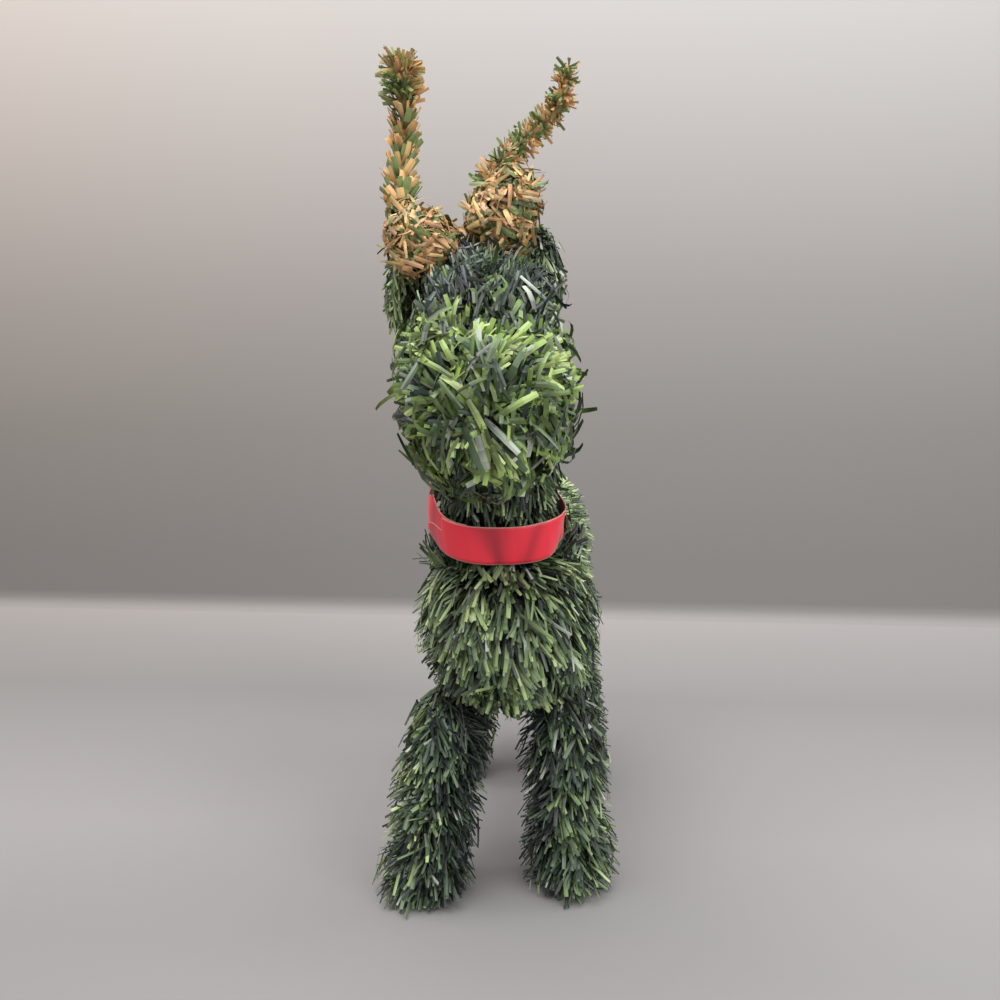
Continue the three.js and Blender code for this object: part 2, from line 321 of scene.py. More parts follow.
# %% Scatter tips, and run needles back from them
def scatter(points, normals, triangles, spacing, chance):
    """Random places on a skin, one to each spacing squared, with their normals."""
    corners = points[triangles]
    crossed = np.cross(corners[:, 1] - corners[:, 0], corners[:, 2] - corners[:, 0])
    area = np.linalg.norm(crossed, axis=1) / 2
    number = int(area.sum() / spacing**2)
    picked = chance.choice(len(triangles), number, p=area / area.sum())
    u, v = chance.random((2, number))
    flip = u + v > 1
    u[flip], v[flip] = 1 - u[flip], 1 - v[flip]
    weights = np.stack([1 - u - v, u, v], 1)[:, :, None]
    spots = (corners[picked] * weights).sum(1)
    return spots, unit((normals[triangles[picked]] * weights).sum(1))


noise.seed_set(5)  # otherwise this noise is seeded by the clock


def drift(spots, size, seed):
    """A field of vectors that changes slowly over about this size."""
    shift = Vector((seed, 3.1 * seed, 7.7 * seed))
    return np.array([noise.noise_vector(Vector(spot) / size + shift) for spot in spots])


def turned(vectors, axes, angles):
    """Vectors turned about unit axes that are square to them."""
    c, s = np.cos(angles)[:, None], np.sin(angles)[:, None]
    return vectors * c + np.cross(axes, vectors) * s


def strips(tips, aims, faces, lengths, widths, bends, segments):
    """Needles as arrays of rings of three points: two edges and the ridge between them."""
    steps = np.linspace(0, 1, segments + 1)
    swell = np.interp(steps, [0, 0.35, 0.8, 1], [0.75, 1, 1, 0.85])
    ridge = 0.1  # of the width
    sides = np.cross(aims, faces)
    rings = []
    for share, wide in zip(steps, swell):
        arch = 4 * share * (1 - share)
        middle = tips - aims * (lengths * (1 - share))[:, None] + faces * (bends * arch)[:, None]
        half = sides * (widths * wide / 2)[:, None]
        rings.append([middle - half, middle + half, middle + faces * (widths * ridge)[:, None]])
    return np.array(rings).transpose(2, 0, 1, 3)


def strip_faces(count, segments):
    """The faces of that many closed needles, as quads and triangles."""
    quads = []
    for ring in range(segments):
        for a, b in ((0, 1), (1, 2), (2, 0)):
            quads.append([3 * ring + a, 3 * ring + 3 + a, 3 * ring + 3 + b, 3 * ring + b])
    last = 3 * segments
    caps = [[0, 1, 2], [last + 1, last, last + 2]]
    start = (np.arange(count) * 3 * (segments + 1))[:, None, None]
    return (start + np.array(quads)).reshape(-1, 4), (start + np.array(caps)).reshape(-1, 3)


# %% [markdown]
# A mesh of a hundred thousand faces is built fastest from flat arrays. The needles and the dark
# core that closes the tuft behind them become one mesh. Its map for baking is laid out by tone
# and by length along the needle, so that the whole coat needs only a small picture.

# %% Make one piece from needles and a core
def tuft_mesh(name, needles, tones, core_points, core_triangles, core_tone=0.0):
    """One mesh object of needles and core, with its tones, lengths and baking map."""
    count, rings = needles.shape[:2]
    quads, caps = strip_faces(count, rings - 1)
    first_core = count * rings * 3
    points = np.concatenate([needles.reshape(-1, 3), core_points])
    triangles = np.concatenate([caps, core_triangles + first_core])
    corners = np.concatenate([quads.ravel(), triangles.ravel()]).astype(np.int32)
    mesh = bpy.data.meshes.new(name)
    mesh.vertices.add(len(points))
    mesh.vertices.foreach_set("co", points.ravel())
    mesh.loops.add(len(corners))
    mesh.loops.foreach_set("vertex_index", corners)
    mesh.polygons.add(len(quads) + len(triangles))
    starts = np.concatenate([
        np.arange(len(quads)) * 4,
        len(quads) * 4 + np.arange(len(triangles)) * 3,
    ])
    mesh.polygons.foreach_set("loop_start", starts.astype(np.int32))
    mesh.update(calc_edges=True)
    mesh.polygons.foreach_set("use_smooth", np.zeros(len(starts), bool))  # crisp, flat strips

    along = np.broadcast_to(np.linspace(0, 1, rings)[None, :, None], (count, rings, 3))
    tone = np.broadcast_to(tones[:, None, None], (count, rings, 3))
    # The core lies at along 0, so the film gives it the full painted shade of the root; its tone is
    # the darkest unless another is given.
    core_values = np.zeros(len(core_points))
    values = {
        "tone": np.concatenate([tone.ravel(), core_values + core_tone]),
        "along": np.concatenate([along.ravel(), core_values]),
    }
    for key, numbers in values.items():
        layer = mesh.attributes.new(key, "FLOAT", "POINT")
        layer.data.foreach_set("value", numbers.astype(np.float32))
    edge, inset = 0.004, 0.02
    across = np.broadcast_to(np.array([-edge, edge, 0.0]), (count, rings, 3))
    lift = np.broadcast_to(np.array([0.0, 0.0, edge]), (count, rings, 3))
    core_spread = (np.arange(len(core_points)) % 5 - 2) * edge / 2
    u = values["tone"] * (1 - 2 * inset) + inset + np.concatenate([across.ravel(), core_spread])
    v = values["along"] * (1 - 2 * inset) + inset
    v = v + np.concatenate([lift.ravel(), core_spread[::-1]])
    bake_map = mesh.uv_layers.new(name="OFBake")
    bake_map.uv.foreach_set("vector", np.stack([u, v], 1)[corners].astype(np.float32).ravel())

    piece = bpy.data.objects.new(name, mesh)
    bpy.context.scene.collection.objects.link(piece)
    return piece


# %% [markdown]
# ## The ribbon's loop
#
# The ribbon lies between the tufts and presses their needles down, so its loop is measured
# before they grow. Its solid is a ring that was extruded along the neck: every edge as long as
# the ribbon is wide runs that way, which gives the neck's axis, the loop's middle, its radius
# all the way round, and its slant.

# %% Measure the loop
ribbon_width = 19 * mm
collar_points, _, _ = arrays_of(solids["ribbon_collar"].data)
pairs = np.array([tuple(edge.vertices) for edge in solids["ribbon_collar"].data.edges])
ends = collar_points[pairs]
runs = ends[:, 1] - ends[:, 0]
runs = runs * np.sign(runs[:, 2:])
straight = np.abs(np.linalg.norm(runs, axis=1) - ribbon_width) < 0.02 * mm
loop_axis = unit(runs[straight].mean(0))
loop_x = unit(np.array([1.0, 0, 0]) - loop_axis * loop_axis[0])
loop_y = np.cross(loop_axis, loop_x)
middles = ends[straight].mean(1)
loop_middle = (middles.min(0) + middles.max(0)) / 2


def round_loop(points):
    """Points as an angle round the loop, a distance from its axis and a height along it."""
    x, y, height = ((points - loop_middle) @ d for d in (loop_x, loop_y, loop_axis))
    return np.arctan2(y, x), np.hypot(x, y), height


around, distance, height = round_loop(middles)
slant = np.stack([np.ones_like(around), np.cos(around), np.sin(around)], 1)
slant = np.linalg.lstsq(slant, height, rcond=None)[0]
nearest = distance < np.array([
    np.median(distance[np.abs(np.angle(np.exp(1j * (around - a)))) < 0.1]) + 1e-9 for a in around
])
order = np.argsort(around[nearest])
inner_around, inner_distance = around[nearest][order], distance[nearest][order]


def hump(off, width):
    """1 in the middle and nothing a few widths away, for degrees off that middle."""
    return np.exp(-((((off + 180) % 360 - 180) / width) ** 2))


def loop_radius(angle):
    """The inside radius at an angle. Behind its left corner the ribbon is drawn in."""
    solid_radius = np.interp(angle, inner_around, inner_distance, period=2 * math.pi)
    return solid_radius - 3 * mm * hump(np.degrees(angle) - 6, 24)


def loop_height(angle):
    """How high the middle of the ribbon's width lies at an angle, along the axis."""
    return slant[0] + slant[1] * np.cos(angle) + slant[2] * np.sin(angle)


def loop_points(angle, radius, height):
    """Points in space from their places round the loop."""
    flat = np.cos(angle)[:, None] * loop_x + np.sin(angle)[:, None] * loop_y
    return loop_middle + flat * radius[:, None] + loop_axis * height[:, None]


print("the neck leans, degrees:", round(math.degrees(math.acos(loop_axis[2])), 1))
print("the loop's radius, mm:", np.round(np.percentile(inner_distance, [0, 50, 100]) / mm, 1))

# %% [markdown]
# Where two tufts meet, a needle must not start in the neighbour, and no needle may cross the
# ribbon or hang over it. The first is tested by the nearest point of a neighbour's solid, the
# second by where points along the needle lie in the loop.

# %% Keep needles clear of what stands next to them
trees = {}
for name, solid in solids.items():
    corner_points, _, corner_triangles = arrays_of(solid.data)
    trees[name] = BVHTree.FromPolygons(corner_points.tolist(), corner_triangles.tolist())


def clear_of(spots, outward, neighbours, reach=5 * mm, contact=1 * mm):
    """Which spots neither touch a neighbour nor have it close in front of them."""
    free = np.ones(len(spots), bool)
    for neighbour in neighbours:
        for i, (spot, ahead) in enumerate(zip(spots, outward)):
            found, _, _, distance = trees[neighbour].find_nearest(Vector(spot), reach)
            if found is None:
                continue
            towards = (np.array(found) - spot) @ ahead / max(distance, 1e-9)
            free[i] &= distance > contact and towards < 0.4
    return free


def beside_ribbon(roots, tips):
    """Which needles neither cross the ribbon nor lie over it."""
    inside, outside, beyond = 2 * mm, 12 * mm, 1.5 * mm
    free = np.ones(len(tips), bool)
    for share in np.linspace(0.2, 1.1, 10):
        angle, radius, height = round_loop(roots + (tips - roots) * share)
        level = np.abs(height - loop_height(angle)) < ribbon_width / 2 + beyond
        gap = radius - loop_radius(angle)
        free &= ~(level & (gap > -inside) & (gap < outside))
    return free


# %% [markdown]
# ## Growing a tuft
#
# One function grows every tuft, and each kind of garland has its own numbers: how long and wide
# its needles are, how densely they stand, how far they lean, and what colours were spun in.

# %% Grow one tuft
foot_zone = 14 * mm  # above the floor, where the cut ends of the legs stand
ground = 0.3 * mm  # the least height of a needle's ends
gap_level = -0.16  # of the noise field, below which a tuft is thin
shortest, longest = 0.75, 1.15  # of a needle's named length
narrowest, widest = 0.6, 1.2  # of its named width
farthest_out = 1.9  # of the named unevenness


def grow(name, flow, film, seed, *, length, width, spacing, lean, tone, cut=(),
         voxel=4 * mm, reach=12 * mm, sway=0.5, stray=0.16, lock=14 * mm, inset=2 * mm, core=0.5,
         segments=2, twist=0.9, bend=0.06, uneven=0.16, thin=0.35, top=1.0, proud=None,
         finer=None):
    """Covers the solid of this name with needles, and hides the solid."""
    chance = np.random.default_rng(seed)
    skin = envelope(solids[name], voxel, reach)
    spots, outward = scatter(*skin, spacing, chance)
    kept = clear_of(spots, outward, cut)
    kept &= ~((spots[:, 2] < foot_zone) & (outward[:, 2] < -0.6)) & (spots[:, 2] < top)
    sparse = drift(spots, lock * 0.8, seed + 0.5)[:, 1] < gap_level  # gaps between the locks
    kept &= ~sparse | (chance.random(len(spots)) < thin)
    spots, outward = spots[kept], outward[kept]
    number = len(spots)
    upright = np.clip(spots[:, 2] / foot_zone, 0, 1)  # near the floor, needles don't splay
    outward = unit(outward * np.stack([np.ones(number), np.ones(number), upright], 1))

    combed = flow(spots, outward)
    combed = combed - outward * (combed * outward).sum(1, keepdims=True)
    field = drift(spots, lock, seed)
    aims = outward * math.cos(lean) + combed * math.sin(lean)
    aims = unit(aims + field * sway + chance.normal(0, stray, (number, 3)))
    lengths = length * chance.uniform(shortest, longest, number)
    out = np.minimum(chance.normal(0, uneven, number), farthest_out * uneven) * length - inset
    if proud:
        out = out + proud(spots)
    tips = spots + outward * out[:, None]
    faces = unit(outward - aims * (outward * aims).sum(1, keepdims=True))
    faces = turned(faces, aims, chance.normal(0, twist, number))
    widths = width * chance.uniform(narrowest, widest, number)
    if finer:
        widths = widths * (1 - finer(spots))
    bends = length * chance.normal(bend, 0.06, number)
    roots = tips - aims * lengths[:, None]
    kept = (np.minimum(roots[:, 2], tips[:, 2]) > ground) & beside_ribbon(roots, tips)
    needles = strips(*(a[kept] for a in (tips, aims, faces, lengths, widths, bends)), segments)
    needles[..., 2] = np.maximum(needles[..., 2], ground / 2)
    tones = np.clip(tone(spots, outward, field, chance), 0, 1)[kept]

    core_depth = length * core - (np.minimum(proud(skin[0]), 0) if proud else 0)
    core_points = skin[0] - skin[1] * np.reshape(core_depth, (-1, 1))
    core_points[:, 2] = np.maximum(core_points[:, 2], ground * 2)
    piece = tuft_mesh(name + "_needles", needles, tones, core_points, skin[2])
    piece.data.materials.append(film)
    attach(piece, "root")
    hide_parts(name)
    print(f"{piece.name}: {len(needles)} needles, {len(skin[2])} core triangles")
    return piece


# %% [markdown]
# ## The green garland
#
# The garland of the body hangs down like shingles. Its film is a greyish pine green with some
# leaf green, and a few pale strips whose pale grey is a painted glint of the film's gloss.
# Lighter strips gather in locks, so a part of each needle's tone comes from the same slow field
# that leans it.

# %% Combing and tones of the green garland
def hanging(backwards=0.3):
    """Needles that hang down and point a little backwards."""
    def flow(spots, outward):
        return np.broadcast_to(unit(np.array([0, backwards, -1.0])), spots.shape)
    return flow


def spun(middle, spread, by_lock=0.3, pale=0.03, darker=None):
    """Tones round a middle one, with lighter and darker locks, and pale strips as painted glints.
    """
    def tone(spots, outward, field, chance):
        tones = chance.normal(middle, spread, len(spots)) + field[:, 0] * by_lock
        if darker:
            tones = tones - darker(spots)
        return np.where(chance.random(len(spots)) < pale, 1.0, np.clip(tones, 0, 0.94))
    return tone


# %% Torso
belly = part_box("torso")[0].z


def towards_rump(spots):
    """From 0 on the chest to 1 behind the neck, where the needles were hardly combed."""
    return np.clip((spots[:, 1] - loop_middle[1] - 10 * mm) / (40 * mm), 0, 1)


def on_sides(low, high):
    """A share that grows from 0 at the middle of a box to 1 at its left and right sides."""
    middle, half = (low.x + high.x) / 2, (high.x - low.x) / 2
    return lambda spots: np.clip((np.abs(spots[:, 0] - middle) / half - 0.35) / 0.5, 0, 1)


beside_torso = on_sides(*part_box("torso"))


def from_neck(spots, outward):
    """Down, and away from the neck; upright on the rump."""
    away = (spots - loop_middle) * np.array([1, 1, 0])
    combed = unit(unit(away) * 0.7 + np.array([0, 0, -1.0]))
    return combed * (1 - 0.65 * towards_rump(spots))[:, None]


grow(
    "torso", from_neck, green_film, 11,
    length=17 * mm, width=2.1 * mm, spacing=2.18 * mm, lean=math.radians(50),
    tone=spun(0.59, 0.22, by_lock=0.45, pale=0.04), voxel=5.5 * mm, reach=14 * mm,
    inset=1.5 * mm, core=0.6, uneven=0.14, twist=0.7, thin=0.3,
    proud=lambda spots: -5.5 * mm * towards_rump(spots),
    finer=lambda spots: 0.4 * beside_torso(spots),
)


# %% Legs
def by_the_hip(spots):
    """From 0 to 1 where a leg comes out of the belly, and the belly's fringe covers it."""
    return np.clip((spots[:, 2] - belly + 22 * mm) / (28 * mm), 0, 1)


def inner_side(middle, half):
    """From 0 at a leg's middle to 1 on its side that faces the other leg, in the shade."""
    return lambda spots: np.clip((middle - spots[:, 0]) * np.sign(middle) / half, 0, 1)


for seed, name in enumerate(
    ["front_left_leg", "front_right_leg", "rear_left_leg", "rear_right_leg"], start=21
):
    low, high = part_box(name)
    shaded = inner_side((low.x + high.x) / 2, (high.x - low.x) / 2)
    beside_leg = on_sides(low, high)
    grow(
        name, hanging(0), green_film, seed,
        length=16 * mm, width=1.9 * mm, spacing=1.65 * mm, lean=math.radians(38),
        tone=spun(0.46, 0.2, darker=lambda spots: 0.32 * shaded(spots)), cut=["torso"],
        voxel=4 * mm, reach=10 * mm, inset=1.5 * mm, core=0.65, uneven=0.22, stray=0.2,
        top=belly + 5 * mm,
        proud=lambda spots: -9 * mm * by_the_hip(spots) ** 1.5,
        finer=lambda spots: 0.45 * beside_leg(spots),
    )


# %% Neck
def out_to_ribbon(spots):
    """How far the needles above and below the ribbon spring out to it."""
    angle, radius, height = round_loop(spots)
    gap = np.clip(loop_radius(angle) - radius - 0.3 * mm, 0, 9 * mm)
    off = np.clip(np.abs(height - loop_height(angle)) - ribbon_width / 2, 0, None)
    return gap * np.exp(-((off / (14 * mm)) ** 2))


grow(
    "neck", hanging(0), green_film, 31,
    length=16 * mm, width=1.6 * mm, spacing=1.75 * mm, lean=math.radians(56),
    tone=spun(0.49, 0.2), cut=["torso", "head"], voxel=4 * mm, reach=10 * mm,
    proud=out_to_ribbon,
)

# %% [markdown]
# ## Head
#
# The head is one fat ball of longer, wider strips in a fresher green. Their wire runs from the
# back of the skull to the muzzle, so the strips radiate from the muzzle's end: up over the
# forehead, sideways on the cheeks and down under the chin.

# %% Head
head_low, head_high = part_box("head")
muzzle = np.array([(head_low.x + head_high.x) / 2, head_low.y + 12 * mm, head_low.z + 30 * mm])


def from_muzzle(spots, outward):
    """Away from the muzzle's end, and hanging under the chin."""
    away = unit(spots - muzzle)
    under = np.clip((muzzle[2] - spots[:, 2]) / (22 * mm), 0, 1)
    return unit(away + np.outer(0.2 + 1.7 * under, [0, 0, -1.0]))


def at_crown(spots):
    """From 0 on the face to 1 on top of the skull, behind the brow."""
    backwards = (spots[:, 1] - head_low.y) / (head_high.y - head_low.y)
    upwards = (spots[:, 2] - head_low.z) / (head_high.z - head_low.z)
    return np.clip((backwards - 0.22) / 0.2, 0, 1) * np.clip((upwards - 0.66) / 0.16, 0, 1)


def head_lift(spots):
    """The crown's needles stand up in the middle and lie close by the ears; the chin's hang."""
    aside = np.abs(spots[:, 0] - muzzle[0]) / (head_high.x - muzzle[0])
    crown = at_crown(spots) * (8 * mm - 14 * mm * np.clip(aside, 0, 1) ** 2)
    return crown + 3.5 * mm * np.clip((muzzle[2] - spots[:, 2] - 6 * mm) / (18 * mm), 0, 1)


def head_shade(spots):
    """Painted shade on the right cheek and under the chin, and darker strips on the crown."""
    right = np.clip((muzzle[0] - spots[:, 0]) / (muzzle[0] - head_low.x), 0, 1)
    chin = np.clip((muzzle[2] - spots[:, 2] - 12 * mm) / (18 * mm), 0, 1)
    return 0.38 * at_crown(spots) + 0.12 * right + 0.14 * chin


grow(
    "head", from_muzzle, fresh_film, 41,
    length=17 * mm, width=2.4 * mm, spacing=1.95 * mm, lean=math.radians(52),
    tone=spun(0.63, 0.2, by_lock=0.5, pale=0.05, darker=head_shade), cut=["neck"],
    voxel=4 * mm, reach=12 * mm, inset=4 * mm, core=0.65, sway=0.7, stray=0.26, segments=3,
    twist=0.6, bend=0.08, uneven=0.15, thin=0.2, proud=head_lift,
    finer=lambda spots: 0.5 * at_crown(spots),
)

# %% Ears and tail
for seed, name, middle in [(51, "left_ear", 0.6), (52, "right_ear", 0.78)]:
    grow(
        name, hanging(0.2), green_film, seed,
        length=12 * mm, width=1.4 * mm, spacing=1.4 * mm, lean=math.radians(52),
        tone=spun(middle, 0.25), cut=["head", "neck"], voxel=2.5 * mm, reach=7 * mm, lock=9 * mm,
    )


def standing(spots, outward):
    """Needles that point up and back."""
    return np.broadcast_to(unit(np.array([0, 0.5, 1.0])), spots.shape)


grow(
    "tail", standing, green_film, 61,
    length=13 * mm, width=1.7 * mm, spacing=1.7 * mm, lean=math.radians(58),
    tone=spun(0.42, 0.15), cut=["torso"], voxel=2.5 * mm, reach=8 * mm, lock=9 * mm,
)

# %% [markdown]
# ## Antlers
#
# Thinner garland, spun from tan, olive and green film. The brow tines are short, dense tufts, so
# they grow as the body does. A beam is too thin for that, because each of its strips shows by
# itself, and their colours make slanting bands, like the strands of a rope. So a beam's strips
# are set one by one round its wire, which is found as the middle line of its solid.

# %% Brow tines
def tangled(spots, outward):
    """Any way along the surface, as strips lie in a tuft that was squeezed by hand."""
    return unit(drift(spots, 5 * mm, 9.4))


def banded(height, turn, pitch, middle, swing, spread, chance):
    """Tones in two colours that wind round an upright garland as bands of this pitch."""
    phase = height / pitch * 2 * math.pi + turn
    return middle + swing * np.sign(np.sin(phase)) + chance.normal(0, spread, len(phase))


def brow_tones(spots, outward, field, chance):
    turn = np.arctan2(outward[:, 1], outward[:, 0])
    return banded(spots[:, 2], turn, 9 * mm, 0.6, 0.12, 0.22, chance)


for seed, side in enumerate(["right", "left"], start=71):
    grow(
        side + "_brow_tine", tangled, tan_film, seed,
        length=9 * mm, width=2.1 * mm, spacing=1.35 * mm, lean=math.radians(60), tone=brow_tones,
        cut=["head"], voxel=2.5 * mm, reach=7 * mm, lock=8 * mm, stray=0.35, inset=1 * mm,
        uneven=0.13, thin=1, twist=0.5,
    )


# %% Beams
def middle_line(solid, steps):
    """Points along the middle of an upright garland, from its foot to its tip."""
    points, _, _ = arrays_of(solid.data)
    heights = points[:, 2]
    levels = np.linspace(heights.min(), heights.max(), steps)
    near = np.exp(-(((heights[None] - levels[:, None]) / (3.5 * mm)) ** 2))
    line = near @ points / near.sum(1, keepdims=True)
    line[:, 2] = levels
    return line


def along_line(line, at):
    """The point of a line at each distance from its start."""
    walked = np.concatenate([[0], np.cumsum(np.linalg.norm(np.diff(line, axis=0), axis=1))])
    return np.stack([np.interp(at, walked, line[:, axis]) for axis in range(3)], 1)


def whorls(line, chance, *, start, end, rows, in_row, length, width, lean, pitch, middle, swing,
           stray=0.12, flat=0.0, spread=0.1, clump=0.0):
    """Rows of strips round a wire, whose tips lie between two distances along it."""
    row = np.repeat(np.arange(rows), in_row)
    count = len(row)
    at = start + (end - start) * (row + chance.random(count)) / rows
    turn = (np.arange(count) % in_row + chance.random(rows)[row]) / in_row * 2 * math.pi
    turn = turn - flat * np.sin(2 * turn) / 2
    leaning = lean + chance.normal(0, stray, count)
    lengths = length * chance.uniform(0.8, 1.15, count)
    lengths = lengths * (1 + clump * np.sin(at / pitch * 2 * math.pi))
    root = along_line(line, at - lengths * np.cos(leaning))
    along = unit(along_line(line, at + 1 * mm) - along_line(line, at - 6 * mm))
    side = unit(np.cross(np.array([0, 1.0, 0]), along))
    radial = side * np.cos(turn)[:, None] + np.cross(along, side) * np.sin(turn)[:, None]
    aims = along * np.cos(leaning)[:, None] + radial * np.sin(leaning)[:, None]
    aims = unit(aims + chance.normal(0, stray, (count, 3)))
    tips = root + radial * 0.8 * mm + aims * lengths[:, None]
    faces = unit(radial - aims * (radial * aims).sum(1, keepdims=True))
    faces = turned(faces, aims, chance.normal(0, 0.35, count))
    widths = width * chance.uniform(0.8, 1.15, count)
    bends = lengths * chance.normal(0.05, 0.04, count)
    tones = banded(at, turn, pitch, middle, swing, spread, chance)
    return strips(tips, aims, faces, lengths, widths, bends, 2), np.clip(tones, 0, 1)


def beam(name, seed, stretches):
    """Covers a beam with strips, one stretch after another, round a thin core."""
    chance = np.random.default_rng(seed)
    line = middle_line(solids[name], 60)
    grown = [whorls(line, chance, **stretch) for stretch in stretches]
    needles, tones = (np.concatenate(parts) for parts in zip(*grown))
    core_points, core_normals, core_triangles = remeshed(solids[name], 1.5 * mm, 4)
    core_points = core_points - core_normals * 3.6 * mm
    piece = tuft_mesh(name + "_needles", needles, tones, core_points, core_triangles, 0.5)
    piece.data.materials.append(tan_film)
    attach(piece, "root")
    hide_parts(name)
    print(f"{piece.name}: {len(needles)} strips, {len(core_triangles)} core triangles")
    return piece


# The right beam is a flattened garland of broad strips, like the barbs of a feather, and it ends
# in a round brush. The left one is rounder and thinner, and its strips stand out all ways.
beam("right_antler_beam", 81, [
    dict(start=3 * mm, end=62 * mm, rows=16, in_row=11, length=10 * mm, width=3.2 * mm, lean=0.7,
         pitch=9 * mm, middle=0.58, swing=0.24, flat=0.9),
    dict(start=60 * mm, end=74 * mm, rows=9, in_row=18, length=10 * mm, width=1.9 * mm,
         lean=1.35, pitch=30 * mm, middle=0.44, swing=0.14, stray=0.22),
    dict(start=73 * mm, end=79 * mm, rows=4, in_row=16, length=9 * mm, width=1.9 * mm,
         lean=0.75, pitch=30 * mm, middle=0.4, swing=0.14, stray=0.22),
])
beam("left_antler_beam", 82, [
    dict(start=3 * mm, end=68 * mm, rows=26, in_row=18, length=6.8 * mm, width=1.5 * mm,
         lean=1.35, pitch=13 * mm, middle=0.52, swing=0.2, stray=0.36, clump=0.22),
    dict(start=66 * mm, end=81 * mm, rows=8, in_row=15, length=6 * mm, width=1.5 * mm,
         lean=1.0, pitch=13 * mm, middle=0.52, swing=0.2, stray=0.34),
])

# %% [markdown]
# ## Ribbon
#
# A single length of woven satin ribbon goes once round the neck and laps over its own end. It is
# a sheet, so it is modelled as one: a strip that follows the loop measured above, with a few
# soft folds across its width and a real thickness. A simulation would only sag it off the neck,
# because what really holds the ribbon up is the pine needles behind it.

# %% Satin ribbon, woven from polyester
# Satin shows long smooth floats on its face, so it shines; its back is duller and paler. Its
# creases are painted darker, as painted shade in the folds. The edges are woven firmer, and
# they catch a thin pale line of light.
def satin():
    material, output = new_material("woven polyester satin, red")
    across = add_node(material, "ShaderNodeAttribute", {"attribute_name": "across"})
    length = add_node(material, "ShaderNodeAttribute", {"attribute_name": "length"})
    face = add_node(material, "ShaderNodeAttribute", {"attribute_name": "face"})
    crease_and_painted_shade = add_node(material, "ShaderNodeAttribute", {"attribute_name": "crease_and_painted_shade"})
    rim = add_node(material, "ShaderNodeAttribute", {"attribute_name": "rim"})
    side = add_node(
        material,
        "ShaderNodeMix",
        {"data_type": "RGBA", "A": linear("#c8545a"), "B": linear("#ff3146")},
        {"Factor": face.outputs["Fac"]},
    )
    # Painted shade: the creases are mixed towards a darker red.
    painted_fold_shade = add_node(
        material,
        "ShaderNodeMix",
        {"data_type": "RGBA", "B": linear("#a32033")},
        {"Factor": crease_and_painted_shade.outputs["Fac"], "A": side.outputs["Result"]},
    )
    selvedge = add_node(
        material,
        "ShaderNodeMapRange",
        {"From Min": 0.93, "From Max": 0.98},
        {"Value": rim.outputs["Fac"]},
    )
    edged = add_node(
        material,
        "ShaderNodeMix",
        {"data_type": "RGBA", "B": linear("#e09a92")},
        {"Factor": selvedge.outputs["Result"], "A": painted_fold_shade.outputs["Result"]},
    )
    weave_at = add_node(
        material,
        "ShaderNodeCombineXYZ",
        links={"X": length.outputs["Fac"], "Y": across.outputs["Fac"]},
    )
    # Real floats lie 0.1 mm apart. They are drawn 0.5 mm apart, so that they show at all.
    floats = ribbon_width / 2 / (0.5 * mm)
    weave = add_node(
        material,
        "ShaderNodeTexNoise",
        {"Scale": floats, "Detail": 2.0, "Roughness": 0.6},
        {"Vector": weave_at.outputs["Vector"]},
    )
    bump = add_node(
        material,
        "ShaderNodeBump",
        {"Strength": 0.25, "Distance": 0.1 * mm},
        {"Height": weave.outputs["Fac"]},
    )
    surface = add_node(
        material,
        "ShaderNodeBsdfPrincipled",
        {"IOR": 1.55, "Roughness": 0.45, "Sheen Weight": 0.25, "Sheen Roughness": 0.4},
        {"Base Color": edged.outputs["Result"], "Normal": bump.outputs["Normal"]},
    )
    material.node_tree.links.new(surface.outputs["BSDF"], output.inputs["Surface"])
    return material


# %% The ribbon's run and its creases
# Angles are in degrees round the loop, from the reindeer's left by its back.
ribbon_thickness = 0.4 * mm
corner = 229  # where the front turns into the reindeer's right side
left_turn = 332  # where it turns into the left side
tongue = 22  # by how much the upper end reaches round that corner
lap = 44  # by how much the two ends lie on each other
stations, rows = 600, 11
across = np.linspace(-1, 1, rows)
turned_by = np.linspace(0, 360 + lap, stations)
places = corner - tongue + turned_by
angles = np.radians(places)
below = turned_by >= 180  # the stations nearer to the lower end

# Each crease: its angle, its width, its slant, how much wider its top is, and its strength
creases = [
    (271, 9, -2, 0.5, 1), (301, 5, 7, 0, 0.6), (corner - 12, 9, 0, 0, 0.9),
    (left_turn + 2, 2, -3, 0, 0.4),
    (28, 8, 4, 0, 0.7), (95, 9, -5, 0, 0.7), (160, 7, 3, 0, 0.7),
]
# The creases' strength sinks the ribbon's folds, and the satin also paints them darker as painted
# shade.
crease_and_painted_shade = np.zeros((stations, rows))
for place, width, slope, flare, strength in creases:
    off = places[:, None] - place - slope * across
    crease_and_painted_shade = np.maximum(crease_and_painted_shade, strength * hump(off, width * (1 + flare * across)))
print("creases:", len(creases))

# %% The strip of ribbon
# The upper end is cut to a tongue, which bends round the corner and stands off. The lower end
# comes from behind above it, leans in at its top, and runs on under the front.
tongue_drop = 3.6 * mm
tongue_stands_off = 2 * mm
lap_rise = 3 * mm
crease_depth = 0.5 * mm
reach = np.clip(turned_by / tongue, 0, 1)
whole = np.clip((turned_by - tongue) / 2, 0, 1)  # from the tongue to the ribbon's whole width
tongue_share = 0.62 * np.sqrt(1 - 0.95 * (1 - reach) ** 2)
half = ribbon_width / 2 * (tongue_share + (1 - tongue_share) * whole)
by_lap = hump(places - 203, 22) * below
lowered = tongue_drop * (1 - whole)
raised = lap_rise * by_lap
stood_off = tongue_stands_off * (1 - reach) ** 2
stood_off = stood_off + 0.7 * mm * np.clip((lap + 30 - turned_by) / 28, 0, 1)
by_turn = hump(places - left_turn, 15)
radii = loop_radius(angles) + ribbon_thickness + stood_off - 1.2 * mm * by_turn
spine = loop_points(angles, radii, loop_height(angles) + raised - lowered)
run = np.concatenate([[0], np.cumsum(np.linalg.norm(np.diff(spine, axis=0), axis=1))])
